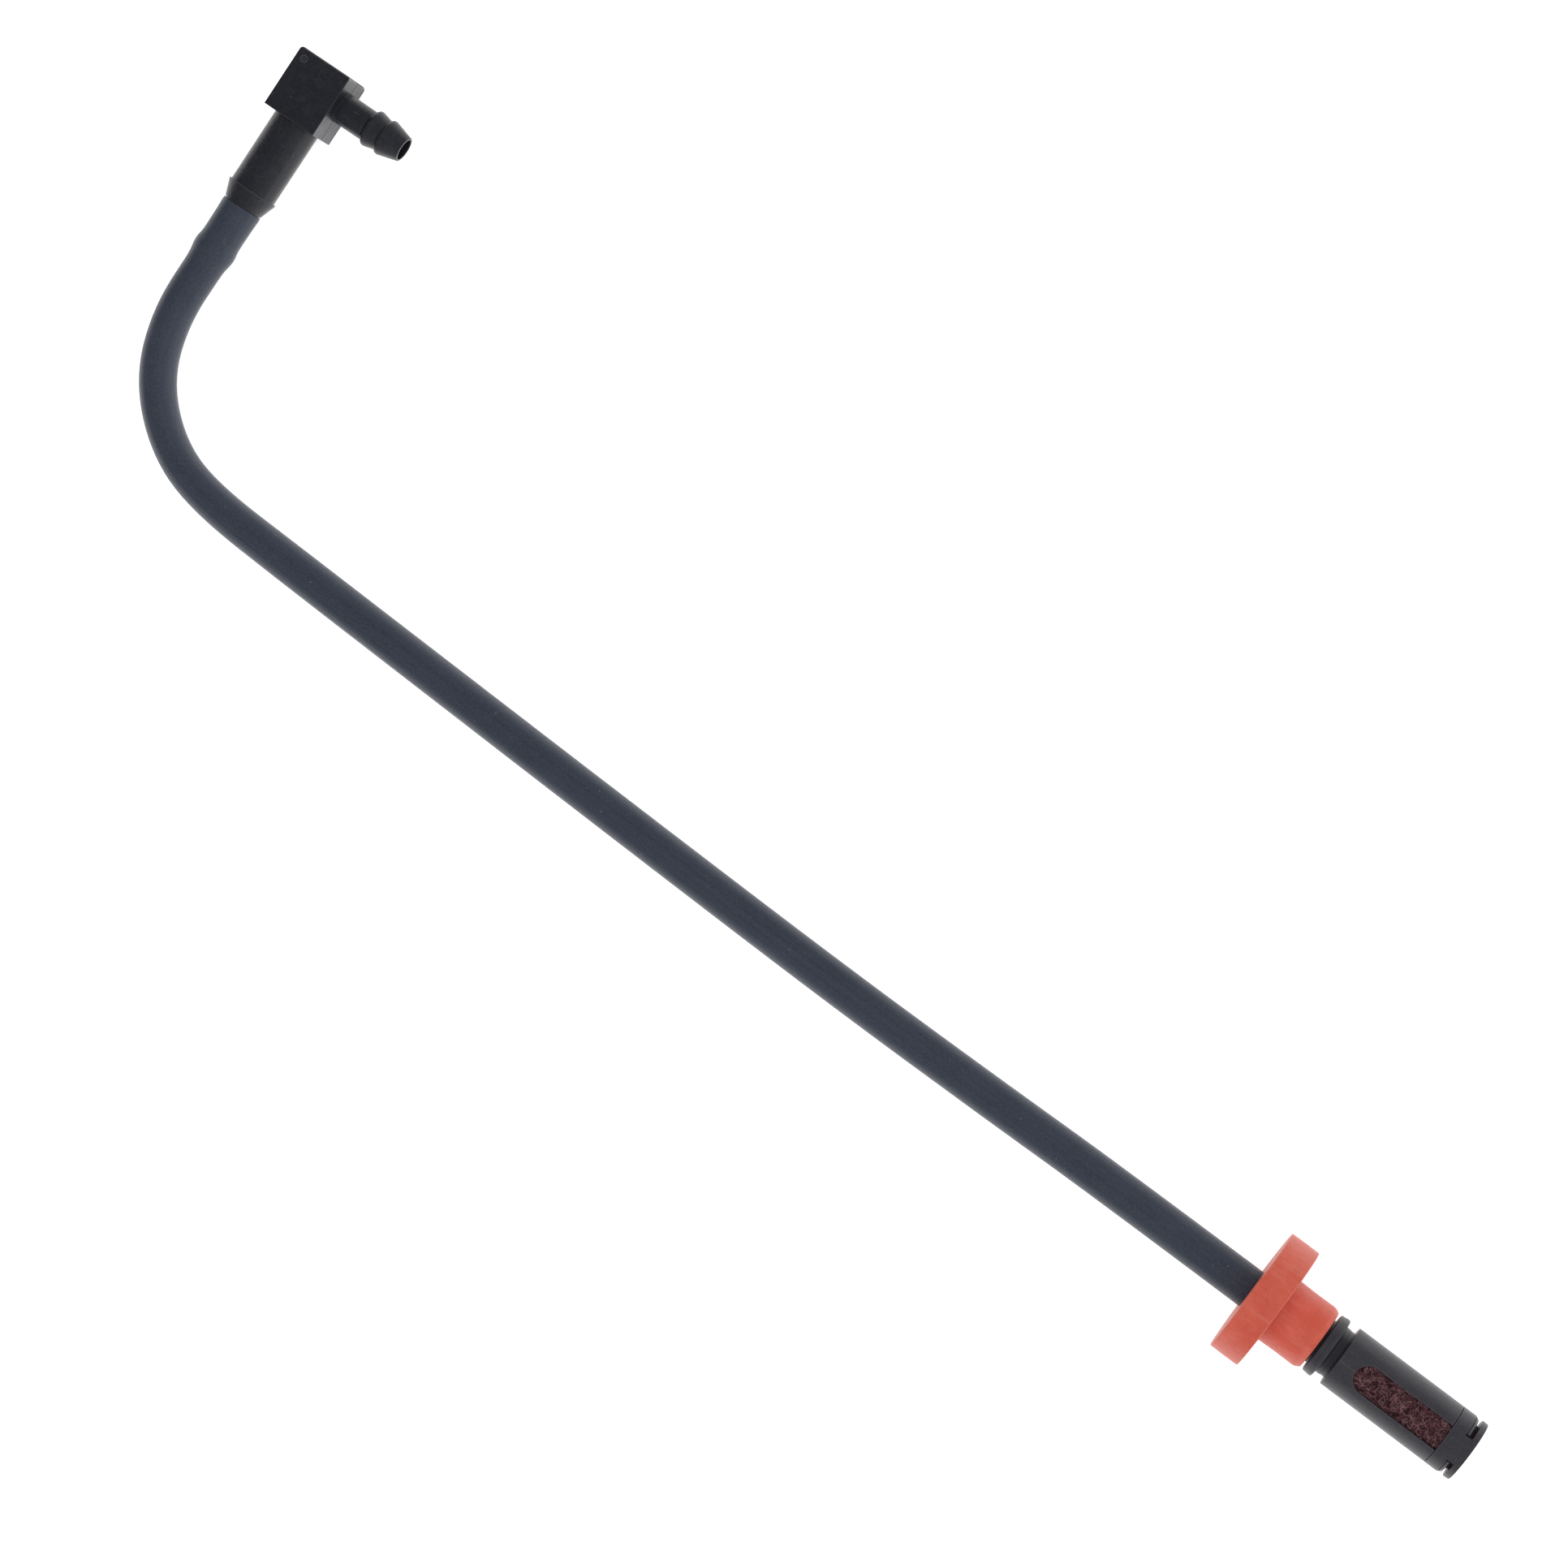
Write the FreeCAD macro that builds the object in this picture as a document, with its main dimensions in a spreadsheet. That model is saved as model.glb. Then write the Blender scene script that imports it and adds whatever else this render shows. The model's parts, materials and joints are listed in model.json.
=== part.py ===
"""Fuel pick-up line: a right-angle hose elbow, a stiff rubber hose, a flanged tank grommet
and a suction filter with a clip-on end cap. Millimetres.

Frame: the origin is on the hose's axis where it passes the seat face of the grommet's flange,
+X runs from there towards the filter and +Z is up. The line lies on a flat surface.
"""
import FreeCAD, Part
import Sketcher
import math
import os
from FreeCAD import Vector

SIZES = {
    # hose
    "hose_outer": 9.5,
    "hose_bore": 6.35,
    "hose_end": 11.6,
    # tank grommet
    "flange_across": 31.4,
    "flange_thick": 7.5,
    "hub_across": 16.2,
    "hub_long": 11.4,
    "hub_chamfer_long": 1.2,
    "hub_chamfer_deep": 0.65,
    "grommet_bore": 9.64,
    "rubber_edge": 0.35,
    # filter cage, stations along X from the seat face
    "rim_start": 12.1,
    "rim_end": 14.6,
    "rim_across": 15.5,
    "rim_round": 0.8,
    "shoulder_across": 11.4,
    "neck_across": 12.3,
    "cage_start": 17.1,
    "cage_end": 45.8,
    "cage_across": 15.3,
    "cage_wall": 1.3,
    "cage_floor": 2.4,
    "window_start": 21.7,
    "window_wide": 6.8,
    "nipple_across": 6.2,
    "nipple_waist": 5.4,
    "nipple_long": 15.0,
    "nipple_bore": 3.6,
    "ridge_peak": 3.0,
    "ridge_foot": 3.8,
    "second_ridge_peak": 7.0,
    "finger_across": 13.84,
    "finger_gap": 7.5,
    "lip_across": 14.9,
    "lip_long": 0.9,
    "slot_overrun": 8.0,
    # end cap
    "ring_long": 3.5,
    "ring_bore": 14.0,
    "notch_long": 1.7,
    "disc_thick": 1.5,
    "disc_across": 15.2,
    "leg_wide": 7.1,
    "leg_inner": 12.8,
    "snap_play": 0.1,
    # filter element
    "element_across": 12.5,
    "element_bore": 5.0,
    "element_end_wall": 4.0,
    "element_play": 0.1,
    # elbow, stations along its long leg from the end of the hose
    "collar_start": 0.25,
    "collar_end": 4.6,
    "collar_nose": 9.7,
    "collar_across": 12.9,
    "long_leg_across": 11.8,
    "block_start": 23.6,
    "block_end": 39.8,
    "block_wide": 14.3,
    "block_round": 0.6,
    "outlet_station": 32.8,
    "elbow_nipple_long": 14.0,
    # elbow outlet, stations from the side face of the block
    "stem_across": 7.7,
    "first_barb_start": 8.0,
    "first_barb_peak": 9.0,
    "first_barb_land": 0.5,
    "first_barb_across": 9.3,
    "barb_waist": 12.1,
    "second_barb_peak": 13.1,
    "second_barb_land": 0.5,
    "second_barb_across": 9.1,
    "outlet_tip": 18.3,
    "tip_across": 6.4,
    "outlet_bore": 5.2,
    "bore_overrun": 1.0,
}
THROUGH = 60  # a cut this deep, half each way, passes right through any piece

# The hose's route from the filter to the elbow: level through the grommet, down to the
# surface over the long run, round the bend and up to the height of the elbow's leg.
ROUTE = [
    (11.6, 0.0, 0.0),
    (-56.0, 0.0, 0.0),
    (-124.0, -1.2, -1.9),
    (-190.0, -1.7, -5.2),
    (-248.0, -1.2, -9.0),
    (-287.0, -0.7, -10.7),
    (-316.2, -0.1, -10.8),
    (-330.4, 5.85, -10.6),
    (-341.4, 16.65, -10.0),
    (-347.5, 30.8, -9.0),
    (-348.3, 46.5, -8.55),
    (-348.8, 60.9, -8.55),
]
ARC_SHARE = 0.45


def make_sheet(doc):
    """The spreadsheet of driving dimensions, one aliased cell for each."""
    sheet = doc.addObject("Spreadsheet::Sheet", "Sizes")
    for row, (alias, value) in enumerate(SIZES.items(), start=1):
        sheet.set(f"A{row}", alias.replace("_", " "))
        sheet.set(f"B{row}", str(value))
        sheet.setAlias(f"B{row}", alias)
    doc.recompute()
    return sheet


def cell(text):
    """An expression with every size's alias pointing into the sheet."""
    words = text.replace("(", " ( ").replace(")", " ) ").split()
    return " ".join(f"Sizes.{word}" if word in SIZES else word for word in words)


def make_body(doc, label):
    body = doc.addObject("PartDesign::Body", label)
    body.Label = label
    return body


def make_sketch(body, name, role="XY_Plane"):
    """An empty sketch on one of the body's own origin planes."""
    sketch = body.newObject("Sketcher::SketchObject", name)
    plane = next(f for f in body.Origin.OriginFeatures if f.Role == role)
    sketch.AttachmentSupport = [(plane, "")]
    sketch.MapMode = "FlatFace"
    return sketch


def pin_coordinate(sketch, kind, line, axis, text, value):
    """Hold one coordinate of a line's start point at a cell's value, or on the axis."""
    if abs(value) < 1e-9:
        sketch.addConstraint(Sketcher.Constraint("PointOnObject", line, 1, axis))
        return
    index = sketch.addConstraint(Sketcher.Constraint(kind, line, 1, value))
    sketch.setExpression(f"Constraints[{index}]", cell(text))


def add_outline(sketch, corners):
    """A closed outline whose corners are pairs of expressions of the sheet's cells."""
    first = sketch.GeometryCount
    places = [tuple(float(sketch.evalExpression(cell(t))) for t in c) for c in corners]
    count = len(places)
    for i, (x, y) in enumerate(places):
        to_x, to_y = places[(i + 1) % count]
        sketch.addGeometry(Part.LineSegment(Vector(x, y, 0), Vector(to_x, to_y, 0)), False)
    for i in range(count):
        after = first + (i + 1) % count
        sketch.addConstraint(Sketcher.Constraint("Coincident", first + i, 2, after, 1))
    for i, ((text_x, text_y), (x, y)) in enumerate(zip(corners, places)):
        pin_coordinate(sketch, "DistanceX", first + i, -2, text_x, x)
        pin_coordinate(sketch, "DistanceY", first + i, -1, text_y, y)


def turn(body, name, corners, axis, kind="Revolution", offset=None):
    """Turn an outline about the sketch's own axis, as material or as a cut."""
    sketch = make_sketch(body, name + "Sketch")
    if offset:
        sketch.setExpression("AttachmentOffset.Base.y", cell(offset))
    body.Document.recompute()
    add_outline(sketch, corners)
    feature = body.newObject("PartDesign::" + kind, name)
    feature.Profile = sketch
    feature.ReferenceAxis = (sketch, [axis])
    feature.Angle = 360
    body.Document.recompute()
    return feature


def cut_through(body, name, outlines):
    """Cut outlines in the XY plane right through the body along Z."""
    sketch = make_sketch(body, name + "Sketch")
    for corners in outlines:
        add_outline(sketch, corners)
    before = body.Shape.Volume
    pocket = body.newObject("PartDesign::Pocket", name)
    pocket.Profile = sketch
    pocket.Type = "Length"
    pocket.Length = THROUGH
    pocket.Midplane = True
    body.Document.recompute()
    print(f"{name} removes {before - body.Shape.Volume:.1f} mm3")
    return pocket


def strip(start, end, wide):
    """A rectangle between two stations, centred on X."""
    low, high = f"0 - {wide} / 2", f"{wide} / 2"
    return [(start, low), (end, low), (end, high), (start, high)]


def round_edges(body, name, radius, wanted):
    """Fillet the edges of the body's solid that wanted() picks."""
    base = body.Tip
    edges = [f"Edge{i}" for i, edge in enumerate(base.Shape.Edges, start=1) if wanted(edge)]
    fillet = body.newObject("PartDesign::Fillet", name)
    fillet.Base = (base, edges)
    fillet.setExpression("Radius", cell(radius))
    body.Document.recompute()
    return fillet


def is_circle(edge, station, radius):
    """True for a circle round X at that station with that radius."""
    curve = edge.Curve
    return (
        isinstance(curve, Part.Circle)
        and abs(curve.Center.x - station) < 1e-3
        and abs(curve.Radius - radius) < 1e-3
    )


def make_grommet(doc, size):
    """Flanged rubber grommet: a thick flange, a chamfered hub and a bore for the hose."""
    body = make_body(doc, "tank_grommet")
    turn(body, "GrommetTurn", [
        ("0 - flange_thick", "grommet_bore / 2"),
        ("0 - flange_thick", "flange_across / 2"),
        ("0", "flange_across / 2"),
        ("0", "hub_across / 2"),
        ("hub_long - hub_chamfer_long", "hub_across / 2"),
        ("hub_long", "hub_across / 2 - hub_chamfer_deep"),
        ("hub_long", "grommet_bore / 2"),
    ], "H_Axis")
    rim = size["flange_across"] / 2
    round_edges(body, "FlangeEdges", "rubber_edge", lambda edge: (
        is_circle(edge, 0, rim) or is_circle(edge, -size["flange_thick"], rim)
    ))
    return body


def make_cage(doc, size):
    """Filter cage: hose nipple, rim disc, neck, slotted sleeve and the snap fingers."""
    body = make_body(doc, "filter_cage")
    turn(body, "CageTurn", [
        ("hose_end - nipple_long", "nipple_bore / 2"),
        ("hose_end - nipple_long", "nipple_waist / 2"),
        ("hose_end - nipple_long + ridge_peak", "nipple_across / 2"),
        ("hose_end - nipple_long + ridge_foot", "nipple_waist / 2"),
        ("hose_end - nipple_long + second_ridge_peak", "nipple_across / 2"),
        ("hose_end", "nipple_across / 2"),
        ("hose_end", "shoulder_across / 2"),
        ("rim_start", "shoulder_across / 2"),
        ("rim_start", "rim_across / 2"),
        ("rim_end", "rim_across / 2"),
        ("rim_end", "neck_across / 2"),
        ("cage_start", "neck_across / 2"),
        ("cage_start", "cage_across / 2"),
        ("cage_end", "cage_across / 2"),
        ("cage_end", "finger_across / 2"),
        ("cage_end + ring_long + snap_play", "finger_across / 2"),
        ("cage_end + ring_long + snap_play", "lip_across / 2"),
        ("cage_end + ring_long + snap_play + lip_long", "finger_across / 2"),
        ("cage_end + ring_long + snap_play + lip_long", "cage_across / 2 - cage_wall"),
        ("cage_start + cage_floor", "cage_across / 2 - cage_wall"),
        ("cage_start + cage_floor", "nipple_bore / 2"),
    ], "H_Axis")
    rim = size["rim_across"] / 2
    round_edges(body, "RimEdges", "rim_round", lambda edge: (
        is_circle(edge, size["rim_start"], rim) or is_circle(edge, size["rim_end"], rim)
    ))
    cut_through(body, "Windows", [
        strip("window_start + window_wide / 2", "cage_end + slot_overrun", "window_wide"),
    ])
    cut_through(body, "FingerGaps", [
        strip("cage_end", "cage_end + slot_overrun", "finger_gap"),
    ])
    add_window_ends(body)
    return body


def add_window_ends(body):
    """The windows' rounded ends: a drilled hole on each side at the window's start."""
    sketch = make_sketch(body, "WindowEndSketch")
    centre = float(sketch.evalExpression(cell("window_start + window_wide / 2")))
    radius = float(sketch.evalExpression(cell("window_wide / 2")))
    sketch.addGeometry(Part.Circle(Vector(centre, 0, 0), Vector(0, 0, 1), radius), False)
    sketch.addConstraint(Sketcher.Constraint("PointOnObject", 0, 3, -1))
    along = sketch.addConstraint(Sketcher.Constraint("DistanceX", 0, 3, centre))
    sketch.setExpression(f"Constraints[{along}]", cell("window_start + window_wide / 2"))
    across = sketch.addConstraint(Sketcher.Constraint("Radius", 0, radius))
    sketch.setExpression(f"Constraints[{across}]", cell("window_wide / 2"))
    before = body.Shape.Volume
    pocket = body.newObject("PartDesign::Pocket", "WindowEnds")
    pocket.Profile = sketch
    pocket.Type = "Length"
    pocket.Length = THROUGH
    pocket.Midplane = True
    body.Document.recompute()
    print(f"WindowEnds removes {before - body.Shape.Volume:.1f} mm3")


def make_element(doc):
    """Fibre element: a felt sleeve closed at the cap's end."""
    body = make_body(doc, "filter_element")
    turn(body, "ElementTurn", [
        ("cage_start + cage_floor + element_play", "element_bore / 2"),
        ("cage_start + cage_floor + element_play", "element_across / 2"),
        ("cage_end + ring_long + notch_long - element_play", "element_across / 2"),
        ("cage_end + ring_long + notch_long - element_play", "0"),
        ("cage_end + ring_long + notch_long - element_play - element_end_wall", "0"),
        ("cage_end + ring_long + notch_long - element_play - element_end_wall",
         "element_bore / 2"),
    ], "H_Axis")
    return body


def make_cap(doc):
    """End cap: a ring on the cage's fingers, joined to the end disc by two legs."""
    body = make_body(doc, "end_cap")
    disc_face = "cage_end + ring_long + notch_long"
    turn(body, "CapTurn", [
        ("cage_end", "ring_bore / 2"),
        ("cage_end", "cage_across / 2"),
        (disc_face, "cage_across / 2"),
        (disc_face, "disc_across / 2"),
        (disc_face + " + disc_thick", "disc_across / 2"),
        (disc_face + " + disc_thick", "0"),
        (disc_face, "0"),
        (disc_face, "leg_inner / 2"),
        ("cage_end + ring_long", "leg_inner / 2"),
        ("cage_end + ring_long", "ring_bore / 2"),
    ], "H_Axis")
    cut_through(body, "Notches", [[
        ("cage_end + ring_long", inner),
        (disc_face, inner),
        (disc_face, outer),
        ("cage_end + ring_long", outer),
    ] for inner, outer in (
        ("leg_wide / 2", "cage_across"),
        ("0 - leg_wide / 2", "0 - cage_across"),
    )])
    return body


def make_elbow(doc, size):
    """Moulded elbow in its own frame: +Y along the long leg, away from the hose's end,
    +X along the barbed outlet; then set on the end of the hose's route."""
    body = make_body(doc, "elbow_connector")
    turn(body, "LongLeg", [
        ("0", "0 - elbow_nipple_long"),
        ("nipple_waist / 2", "0 - elbow_nipple_long"),
        ("nipple_across / 2", "ridge_peak - elbow_nipple_long"),
        ("nipple_waist / 2", "ridge_foot - elbow_nipple_long"),
        ("nipple_across / 2", "second_ridge_peak - elbow_nipple_long"),
        ("nipple_across / 2", "collar_start"),
        ("collar_nose / 2", "collar_start"),
        ("collar_across / 2", "collar_end"),
        ("long_leg_across / 2", "collar_end"),
        ("long_leg_across / 2", "outlet_station"),
        ("0", "outlet_station"),
    ], "V_Axis")
    block = make_sketch(body, "BlockSketch")
    add_outline(block, [
        ("0 - block_wide / 2", "block_start"),
        ("block_wide / 2", "block_start"),
        ("block_wide / 2", "block_end"),
        ("0 - block_wide / 2", "block_end"),
    ])
    pad = body.newObject("PartDesign::Pad", "Block")
    pad.Profile = block
    pad.Midplane = True
    pad.setExpression("Length", cell("block_wide"))
    doc.recompute()
    end = size["block_end"]
    round_edges(body, "BlockEdges", "block_round", lambda edge: (
        all(abs(v.Point.y - end) < 1e-3 for v in edge.Vertexes)
    ))
    face = "block_wide / 2"
    turn(body, "Outlet", [
        ("0", "0"),
        (f"{face} + outlet_tip", "0"),
        (f"{face} + outlet_tip", "tip_across / 2"),
        (f"{face} + second_barb_peak + second_barb_land", "second_barb_across / 2"),
        (f"{face} + second_barb_peak", "second_barb_across / 2"),
        (f"{face} + barb_waist", "stem_across / 2"),
        (f"{face} + first_barb_peak + first_barb_land", "first_barb_across / 2"),
        (f"{face} + first_barb_peak", "first_barb_across / 2"),
        (f"{face} + first_barb_start", "stem_across / 2"),
        ("0", "stem_across / 2"),
    ], "H_Axis", offset="outlet_station")
    turn(body, "OutletBore", [
        ("0", "0"),
        (f"{face} + outlet_tip + bore_overrun", "0"),
        (f"{face} + outlet_tip + bore_overrun", "outlet_bore / 2"),
        ("0", "outlet_bore / 2"),
    ], "H_Axis", kind="Groove", offset="outlet_station")
    turn(body, "LegBore", [
        ("0", "0 - elbow_nipple_long - bore_overrun"),
        ("nipple_bore / 2", "0 - elbow_nipple_long - bore_overrun"),
        ("nipple_bore / 2", "outlet_station"),
        ("0", "outlet_station"),
    ], "V_Axis", kind="Groove")
    end, before = Vector(*ROUTE[-1]), Vector(*ROUTE[-2])
    lie = FreeCAD.Rotation(Vector(0, 1, 0), end - before)
    body.Placement = FreeCAD.Placement(end, lie)
    return body


def route_wire(points):
    """Straight runs joined by tangent arcs, each as large as its two runs allow."""
    points = [Vector(*point) for point in points]
    edges, start, radii = [], points[0], []
    for before, corner, after in zip(points, points[1:], points[2:]):
        back, ahead = before - corner, after - corner
        half_turn = (math.pi - back.getAngle(ahead)) / 2
        reach = ARC_SHARE * min(back.Length, ahead.Length)
        radius = reach / math.tan(half_turn)
        radii.append(radius)
        back, ahead = back.normalize(), ahead.normalize()
        enter, leave = corner + back * reach, corner + ahead * reach
        inward = (back + ahead).normalize()
        middle = corner + inward * (radius / math.cos(half_turn) - radius)
        edges.append(Part.LineSegment(start, enter).toShape())
        edges.append(Part.Arc(enter, middle, leave).toShape())
        start = leave
    edges.append(Part.LineSegment(start, points[-1]).toShape())
    print("hose arc radii, mm:", [round(radius, 1) for radius in radii])
    return Part.Wire(edges)


def sweep_round(wire, radius):
    """A solid round bar along the wire."""
    start = wire.OrderedVertexes[0].Point
    along = wire.OrderedEdges[0].tangentAt(wire.OrderedEdges[0].FirstParameter)
    section = Part.Wire([Part.makeCircle(radius, start, along)])
    return wire.makePipeShell([section], True, False)


def make_hose(doc, size):
    """The hose: one plain tube along the route."""
    wire = route_wire(ROUTE)
    outer, inner = size["hose_outer"] / 2, size["hose_bore"] / 2
    tube = sweep_round(wire, outer).cut(sweep_round(wire, inner))
    hose = doc.addObject("Part::Feature", "hose")
    hose.Label = "hose"
    hose.Shape = tube.Solids[0]
    expected = math.pi * (outer ** 2 - inner ** 2) * wire.Length
    print(f"hose length {wire.Length:.1f} mm, volume {hose.Shape.Volume:.0f} mm3,"
          f" section x length {expected:.0f} mm3, solids {len(tube.Solids)}")
    return hose


def main():
    doc = FreeCAD.newDocument("fuel_pickup_line")
    sheet = make_sheet(doc)
    size = {alias: float(sheet.get(alias)) for alias in SIZES}
    pieces = [
        make_hose(doc, size),
        make_grommet(doc, size),
        make_cage(doc, size),
        make_element(doc),
        make_cap(doc),
        make_elbow(doc, size),
    ]
    doc.recompute()
    for thing in doc.Objects:
        if "Invalid" in thing.State or "Error" in thing.State:
            raise RuntimeError(f"{thing.Label} failed: {thing.State}")
    os.makedirs("parts", exist_ok=True)
    for piece in pieces:
        shape = piece.Shape
        if shape.isNull() or not shape.isValid() or len(shape.Solids) != 1:
            raise RuntimeError(f"{piece.Label} isn't one valid solid")
        shape.exportStep(f"parts/{piece.Label}.step")
        box = shape.BoundBox
        print(f"{piece.Label}: {shape.Volume:.0f} mm3, X {box.XMin:.2f} {box.XMax:.2f},"
              f" Y {box.YMin:.2f} {box.YMax:.2f}, Z {box.ZMin:.2f} {box.ZMax:.2f}")


main()
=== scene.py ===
"""Fuel pick-up line: moulded elbow, rubber hose, tank grommet and slotted filter.

The hose is made in metres along its route. The other pieces are modelled in millimetres in
their own frames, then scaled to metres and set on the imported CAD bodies. +X runs along the
hose's axis towards the filter, +Z is up.
"""
import json
import math
import random

import bmesh
import bpy
from mathutils import Matrix, Vector


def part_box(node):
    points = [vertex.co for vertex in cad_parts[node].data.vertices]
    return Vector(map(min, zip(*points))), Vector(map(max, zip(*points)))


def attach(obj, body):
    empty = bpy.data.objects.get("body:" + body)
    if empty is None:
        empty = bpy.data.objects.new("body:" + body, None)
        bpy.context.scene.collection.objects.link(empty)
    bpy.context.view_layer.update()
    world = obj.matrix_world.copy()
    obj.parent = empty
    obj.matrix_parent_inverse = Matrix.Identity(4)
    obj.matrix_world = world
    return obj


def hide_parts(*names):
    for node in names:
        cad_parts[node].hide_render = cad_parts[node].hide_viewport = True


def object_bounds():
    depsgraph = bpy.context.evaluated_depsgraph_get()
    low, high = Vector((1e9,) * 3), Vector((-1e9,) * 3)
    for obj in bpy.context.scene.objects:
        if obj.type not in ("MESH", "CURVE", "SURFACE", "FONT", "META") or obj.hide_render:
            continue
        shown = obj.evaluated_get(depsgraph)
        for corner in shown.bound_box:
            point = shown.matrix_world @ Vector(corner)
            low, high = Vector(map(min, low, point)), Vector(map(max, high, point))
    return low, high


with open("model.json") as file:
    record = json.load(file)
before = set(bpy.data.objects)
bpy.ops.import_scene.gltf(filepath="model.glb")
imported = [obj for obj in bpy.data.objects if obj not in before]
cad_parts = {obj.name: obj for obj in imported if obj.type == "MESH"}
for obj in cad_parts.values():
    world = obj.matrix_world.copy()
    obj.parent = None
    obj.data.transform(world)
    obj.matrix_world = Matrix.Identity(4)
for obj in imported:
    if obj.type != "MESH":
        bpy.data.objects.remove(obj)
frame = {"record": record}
cad_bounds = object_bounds()

MM = 0.001
FLOOR = cad_bounds[0][2]
MIDDLE = (-0.15, 0.03)  # roughly the line's middle, in metres
AS_BUILT = Matrix.Identity(4)


# ---------------------------------------------------------------- sizes, millimetres

def node_size(node, axis):
    """A CAD node's size along one axis, in millimetres."""
    low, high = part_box(node)
    return (high[axis] - low[axis]) / MM


def node_edge(node, end, axis=0):
    """Where a CAD node's low (0) or high (1) end lies along an axis, in millimetres."""
    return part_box(node)[end][axis] / MM


HOSE_OUTER = 9.5
HOSE_BORE = 6.35
HOSE_STRETCH = 0.17     # the skin's swell over the nipple's shank
HOSE_BULGE = 0.37       # and the further swell over its barb
HOSE_LIP = 0.20         # and at the hose's own end
BULGE_AT = 11.8         # from the elbow's end of the hose
BEND_AT = 60.0          # the bend's middle, from the same end
BEND_SPREAD = 26.0
BEND_OVAL = 0.07        # how far the round section is squeezed there
HOSE_EDGE = 0.12        # how much thinner the hose's cut ends are, over their last stretch
HOSE_EDGE_LENGTH = 0.3
NIPPLE = 6.2
NIPPLE_WAIST = 5.4
NIPPLE_BORE = 3.6

FLANGE_BACK = node_edge("tank_grommet", 0)
HUB_END = node_edge("tank_grommet", 1)
FLANGE_R = node_size("tank_grommet", 2) / 2
HUB_R = 8.1
GROMMET_BORE_R = 4.88

FILTER_START = node_edge("filter_cage", 0)
HOSE_END = node_edge("hose", 1)
RIM_R = node_size("filter_cage", 2) / 2
RIM_START = HOSE_END + 0.5
RIM_END = RIM_START + 2.5
CAGE_START = RIM_END + 2.5
CAGE_END = node_edge("end_cap", 0)
CAGE_R = node_size("end_cap", 2) / 2
CAGE_INNER_R = CAGE_R - 1.3
NECK_R = 6.15
WINDOW_START = CAGE_START + 4.6
WINDOW_HALF = 3.4
WINDOW_END = CAGE_END + 8.5
RING_END = CAGE_END + 3.5
RING_BORE_R = 7.0
CAP_GAP = 0.08
CAP_LEG_HALF = 3.55
DISC_START = RING_END + 1.7
DISC_BOSS_R = 6.4
CAP_END = node_edge("end_cap", 1)
FINGER_R = 6.9
FINGER_HALF = 3.75
EDGE_BREAK = 0.09
FELT_BED_R = 5.95
FELT_BORE_R = 2.5
FILAMENT_TOP_R = 6.24
FILAMENT_DEPTH = 0.34
FILAMENT_STEP = 0.24

COLLAR_END = 4.6
COLLAR_R = 6.46
LEG_R = 5.9
OUTLET_R = 3.84
OUTLET_BORE_R = 2.6
OUTLET_LENGTH = 18.3
BLOCK_START = 23.6
BLOCK_END = 39.8
BLOCK_HALF = node_size("elbow_connector", 2) / 2
OUTLET_STATION = 32.8    # the outlet's axis, from the hose's end
ELBOW_NIPPLE = 14.0
FAR_CORNER = 0.85        # the rounding of the block's far end
BLOCK_EDGE = 0.12        # and of its other edges
GATE_PLACE = (-4.85, 37.4)  # on the block's upper face, in the elbow's frame

# The tent's brightness from the horizon (0) to straight overhead (1), its mean strength,
# and the vector that it brightens along.
TENT_RAMP = [(0.0, 3.0), (0.05, 3.0), (0.13, 1.0), (0.6, 1.0), (0.92, 0.6), (1.0, 0.5)]
TENT_LIGHT = 0.52
TENT_LEAN = (0.30, -0.04, 0.0)
PANEL_POWER = 15.0
FLOOR_GLOW = 0.68
FLOOR_GAP = 0.00002  # metres, so that the floor and the line's lowest points don't coincide

# The hose's route, close to the CAD tube's, in metres.
ROUTE = [
    (0.0116, 0.0, 0.0),
    (-0.045, 0.0, 0.0),
    (-0.080, -0.0008, -0.0004),
    (-0.124, -0.0015, -0.0019),
    (-0.190, -0.0013, -0.0052),
    (-0.248, -0.0010, -0.0090),
    (-0.287, -0.0007, -0.0107),
    (-0.3167, -0.0002, -0.0108),
    (-0.3311, 0.0047, -0.0106),
    (-0.3429, 0.0157, -0.0100),
    (-0.3480, 0.0304, -0.0090),
    (-0.3483, 0.0465, -0.00855),
    (-0.3488, 0.0609, -0.00855),
]


# ---------------------------------------------------------------- camera

def make_camera():
    """A long lens, nearly straight down on the line, turned so that it runs corner to corner."""
    place = Vector((-0.0338, 0.1092, 0.9403))
    aim = Vector((-0.1634, 0.0272, FLOOR))
    image_up = Vector((math.cos(math.radians(126.4)), math.sin(math.radians(126.4)), 0.0))
    ahead = (aim - place).normalized()
    right = ahead.cross(image_up).normalized()
    up = right.cross(ahead)
    data = bpy.data.cameras.new("camera")
    data.sensor_width = 36.0
    data.lens = 95.0
    data.clip_start = 0.05
    data.clip_end = 20.0
    camera = bpy.data.objects.new("camera", data)
    turn = Matrix((right, up, -ahead)).transposed().to_4x4()
    camera.matrix_world = Matrix.Translation(place) @ turn
    bpy.context.collection.objects.link(camera)
    bpy.context.scene.camera = camera


# ---------------------------------------------------------------- node materials

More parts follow.
